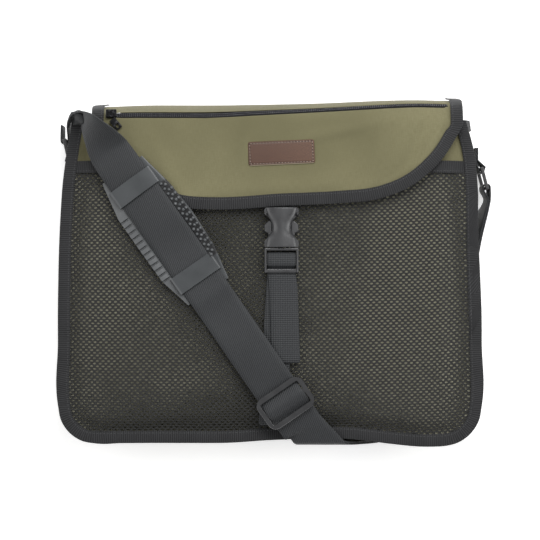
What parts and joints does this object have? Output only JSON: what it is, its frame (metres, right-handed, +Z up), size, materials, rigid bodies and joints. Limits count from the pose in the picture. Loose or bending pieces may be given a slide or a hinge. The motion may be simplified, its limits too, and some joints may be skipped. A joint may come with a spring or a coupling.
{
  "type": "hunting game bag",
  "caption": "Khaki canvas game bag with a black net front pocket, zipped flap, side release buckle and padded webbing shoulder strap, lying on its back.",
  "frame": {"origin": "middle of the back panel's flat underside, level with the surface that the bag lies on", "axes": "+X across the bag to its right side, +Y towards the mouth and flap, +Z up out of the bag's front"},
  "size_m": [0.3867, 0.3113, 0.1009],
  "materials": {
    "khaki_canvas": "matt plain weave, slightly waxed",
    "black_net": "knotless polyester mesh",
    "grey_tape": "ribbed binding tape",
    "grey_webbing": "woven polypropylene webbing",
    "moulded_rubber": "matt moulded rubber",
    "grey_plastic": "fine textured moulding",
    "zip_coil": "nylon coil on woven tape",
    "zip_metal": "black enamelled casting",
    "brown_leather": "grained leather, cut edge"
  },
  "bodies": {
    "root": {"back_panel": "khaki_canvas", "gusset": "khaki_canvas", "gusset_hem_left": "grey_tape", "gusset_hem_right": "grey_tape", "back_binding": "grey_tape", "front_panel": "khaki_canvas", "net_pocket": "black_net", "pocket_hem": "grey_tape", "front_binding": "grey_tape", "flap": "khaki_canvas", "flap_binding": "grey_tape", "flap_zip": "zip_coil", "zip_slider": "zip_metal", "zip_puller": "zip_metal", "leather_label": "brown_leather", "flap_tab": "grey_webbing", "buckle_socket": "grey_plastic", "buckle_plug": "grey_plastic", "closure_strap": "grey_webbing", "ring_left": "grey_plastic", "ring_right": "grey_plastic", "ring_tab_left": "grey_webbing", "ring_tab_right": "grey_webbing", "shoulder_strap": "grey_webbing", "strap_slider": "grey_plastic", "strap_pad": "moulded_rubber"}
  },
  "joints": []
}
